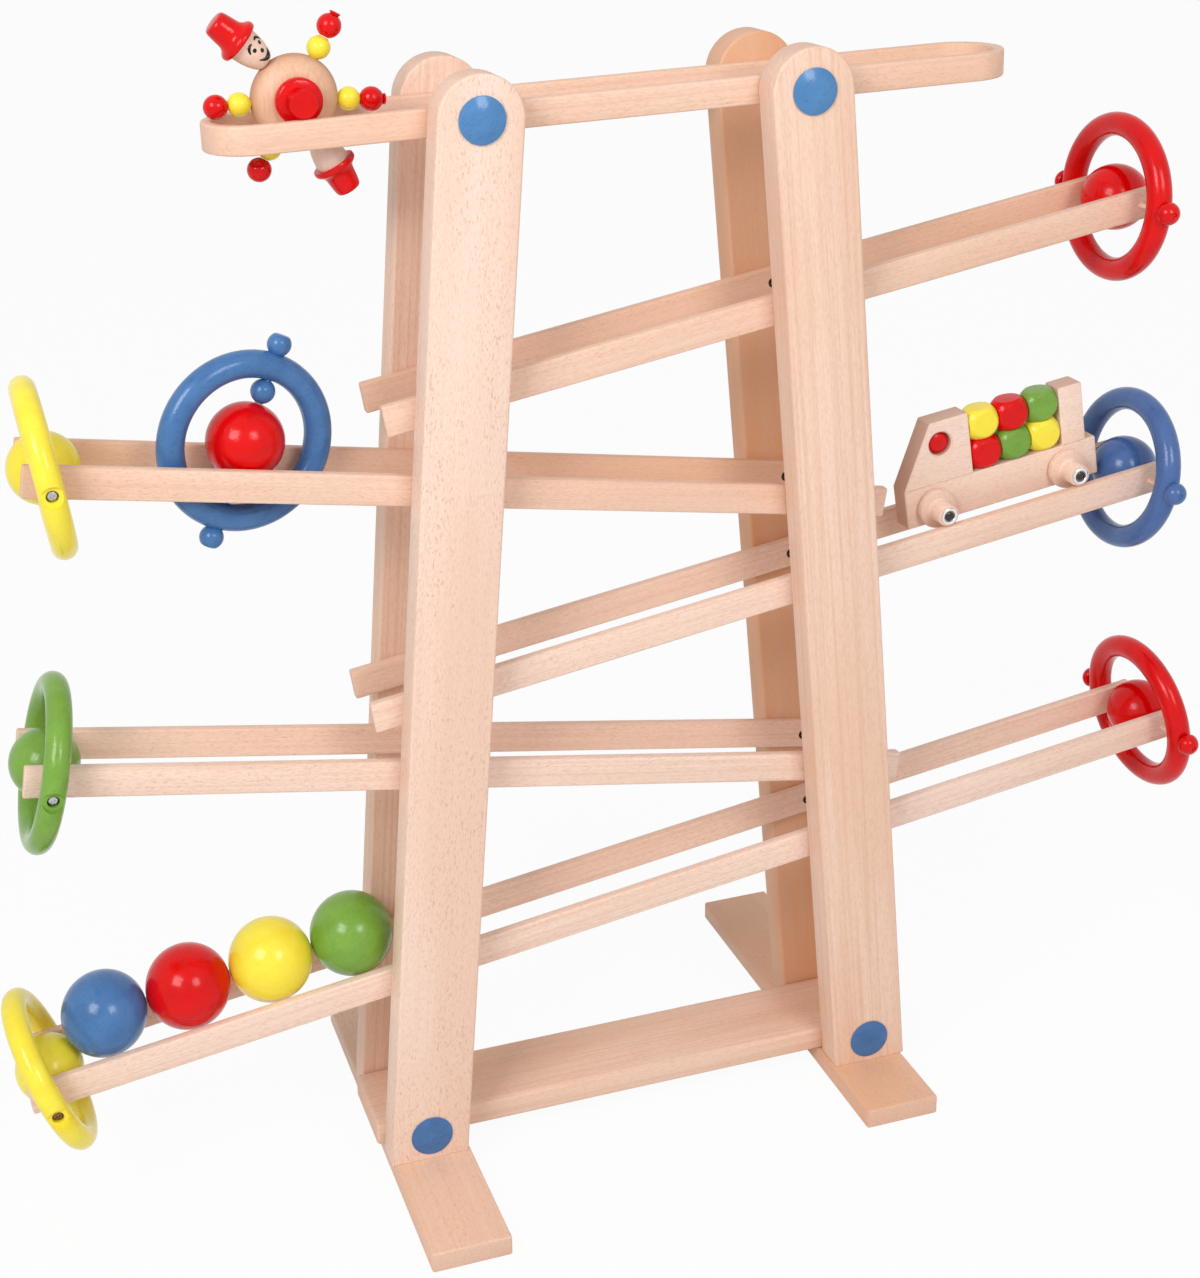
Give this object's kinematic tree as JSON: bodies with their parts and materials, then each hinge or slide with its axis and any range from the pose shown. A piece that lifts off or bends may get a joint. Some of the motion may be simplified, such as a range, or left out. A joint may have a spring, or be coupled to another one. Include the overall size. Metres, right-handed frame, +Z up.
{
  "type": "wooden ramp toy",
  "caption": "Freestanding wooden ramp tower with sloping rail tracks, swinging end rings, a top track and rolling toys: tumbling figure, ring roller, truck and loose balls.",
  "frame": {"origin": "on the floor, under the middle of the toy's outline", "axes": "+X along the ramps to the right, +Y towards the rear, +Z up; the front faces -Y"},
  "size_m": [0.6874, 0.258, 0.6248],
  "materials": {
    "beech": "sanded, clear satin",
    "red_paint": "gloss paint",
    "blue_paint": "satin paint",
    "yellow_paint": "satin paint",
    "green_paint": "satin paint"
  },
  "bodies": {
    "frame": {"base_plank": "beech", "button_low_left": "blue_paint", "button_low_right": "blue_paint", "button_top_left": "blue_paint", "button_top_right": "blue_paint", "end_ball_ramp_1": "red_paint", "end_ball_ramp_2": "yellow_paint", "end_ball_ramp_3": "blue_paint", "end_ball_ramp_4": "green_paint", "end_ball_ramp_5": "red_paint", "end_ball_ramp_5_low": "yellow_paint", "foot_left": "beech", "foot_right": "beech", "post_front_left": "beech", "post_front_right": "beech", "post_rear_left": "beech", "post_rear_right": "beech", "ramp_1_front_rail": "beech", "ramp_1_rear_rail": "beech", "ramp_2_front_rail": "beech", "ramp_2_rear_rail": "beech", "ramp_3_front_rail": "beech", "ramp_3_rear_rail": "beech", "ramp_4_front_rail": "beech", "ramp_4_rear_rail": "beech", "ramp_5_front_rail": "beech", "ramp_5_rear_rail": "beech", "top_track": "beech"},
    "ring_ramp_1": {"ring_ramp_1": "red_paint"},
    "ring_ramp_2": {"ring_ramp_2": "yellow_paint"},
    "ring_ramp_3": {"ring_ramp_3": "blue_paint"},
    "ring_ramp_4": {"ring_ramp_4": "green_paint"},
    "ring_ramp_5": {"ring_ramp_5": "red_paint"},
    "ring_ramp_5_low": {"ring_ramp_5_low": "yellow_paint"},
    "loose_ball_1": {"loose_ball_1": "blue_paint"},
    "loose_ball_2": {"loose_ball_2": "red_paint"},
    "loose_ball_3": {"loose_ball_3": "yellow_paint"},
    "loose_ball_4": {"loose_ball_4": "green_paint"},
    "tumbler_axle": {"tumbler_axle": "red_paint"},
    "tumbler_figure": {"tumbler_arm_left": "red_paint", "tumbler_arm_lower_left": "red_paint", "tumbler_arm_right": "red_paint", "tumbler_arm_upper_right": "red_paint", "tumbler_body": "beech", "tumbler_head_lower": "beech", "tumbler_head_upper": "beech"},
    "roller_ball": {"roller_ball": "red_paint"},
    "roller_ring": {"roller_ring": "blue_paint", "roller_peg_upper": "blue_paint", "roller_peg_lower": "blue_paint"},
    "truck": {"truck_body": "beech", "truck_window": "red_paint", "cargo_bead_1": "red_paint", "cargo_bead_2": "green_paint", "cargo_bead_3": "yellow_paint", "cargo_bead_4": "yellow_paint", "cargo_bead_5": "red_paint", "cargo_bead_6": "green_paint"},
    "truck_front_wheels": {"truck_front_wheels": "beech"},
    "truck_rear_wheels": {"truck_rear_wheels": "beech"}
  },
  "joints": [
    {"name": "ring_ramp_1_swing", "type": "hinge", "parent": "frame", "child": "ring_ramp_1", "pos_m": [0.28576, -0.015, 0.4939], "axis": [0, 1, 0], "range_deg": [-70, 45]},
    {"name": "ring_ramp_2_swing", "type": "hinge", "parent": "frame", "child": "ring_ramp_2", "pos_m": [-0.29374, -0.015, 0.41727], "axis": [0, 1, 0], "range_deg": [-40, 75]},
    {"name": "ring_ramp_3_swing", "type": "hinge", "parent": "frame", "child": "ring_ramp_3", "pos_m": [0.30376, -0.015, 0.33665], "axis": [0, 1, 0], "range_deg": [-45, 39]},
    {"name": "ring_ramp_4_swing", "type": "hinge", "parent": "frame", "child": "ring_ramp_4", "pos_m": [-0.30824, -0.015, 0.26317], "axis": [0, 1, 0], "range_deg": [-62, 52]},
    {"name": "ring_ramp_5_swing", "type": "hinge", "parent": "frame", "child": "ring_ramp_5", "pos_m": [0.32576, -0.015, 0.18084], "axis": [0, 1, 0], "range_deg": [-58, 57]},
    {"name": "ring_ramp_5_low_swing", "type": "hinge", "parent": "frame", "child": "ring_ramp_5_low", "pos_m": [-0.32294, -0.015, 0.0869], "axis": [0, 1, 0], "range_deg": [-44, 20]},
    {"name": "ball_1_run", "type": "slide", "parent": "frame", "child": "loose_ball_1", "axis": [0.9897, 0, 0.1433], "range_m": [0, 0.2]},
    {"name": "ball_2_run", "type": "slide", "parent": "frame", "child": "loose_ball_2", "axis": [0.9897, 0, 0.1433], "range_m": [0, 0.2]},
    {"name": "ball_3_run", "type": "slide", "parent": "frame", "child": "loose_ball_3", "axis": [0.9897, 0, 0.1433], "range_m": [0, 0.2]},
    {"name": "ball_4_run", "type": "slide", "parent": "frame", "child": "loose_ball_4", "axis": [0.9897, 0, 0.1433], "range_m": [0, 0.2]},
    {"name": "tumbler_run", "type": "slide", "parent": "frame", "child": "tumbler_axle", "axis": [0.9999, 0, 0.014], "range_m": [0, 0.3]},
    {"name": "tumbler_turn", "type": "hinge", "parent": "tumbler_axle", "child": "tumbler_figure", "pos_m": [-0.16124, -0.015, 0.58313], "axis": [0, 1, 0], "continuous": true},
    {"name": "roller_run", "type": "slide", "parent": "frame", "child": "roller_ball", "axis": [0.987, 0, -0.1609], "range_m": [0, 0.25]},
    {"name": "roller_turn", "type": "hinge", "parent": "roller_ball", "child": "roller_ring", "pos_m": [-0.19584, -0.015, 0.41785], "axis": [-0.2079, 0.9781, 0], "continuous": true},
    {"name": "truck_run", "type": "slide", "parent": "frame", "child": "truck", "axis": [-0.9886, 0, -0.1504], "range_m": [0, 0.29]},
    {"name": "truck_front_wheels_turn", "type": "hinge", "parent": "truck", "child": "truck_front_wheels", "pos_m": [0.1807, -0.015, 0.33239], "axis": [0, 1, 0], "continuous": true},
    {"name": "truck_rear_wheels_turn", "type": "hinge", "parent": "truck", "child": "truck_rear_wheels", "pos_m": [0.26058, -0.015, 0.34455], "axis": [0, 1, 0], "continuous": true}
  ],
  "couplings": [
    {"joint": "ball_2_run", "follows": "ball_1_run", "ratio": 1},
    {"joint": "ball_3_run", "follows": "ball_1_run", "ratio": 1},
    {"joint": "ball_4_run", "follows": "ball_1_run", "ratio": 1},
    {"joint": "tumbler_turn", "follows": "tumbler_run", "rad_per_m": 147.06},
    {"joint": "roller_turn", "follows": "roller_run", "rad_per_m": 120.23},
    {"joint": "truck_front_wheels_turn", "follows": "truck_run", "rad_per_m": -166.67},
    {"joint": "truck_rear_wheels_turn", "follows": "truck_run", "rad_per_m": -166.67}
  ]
}
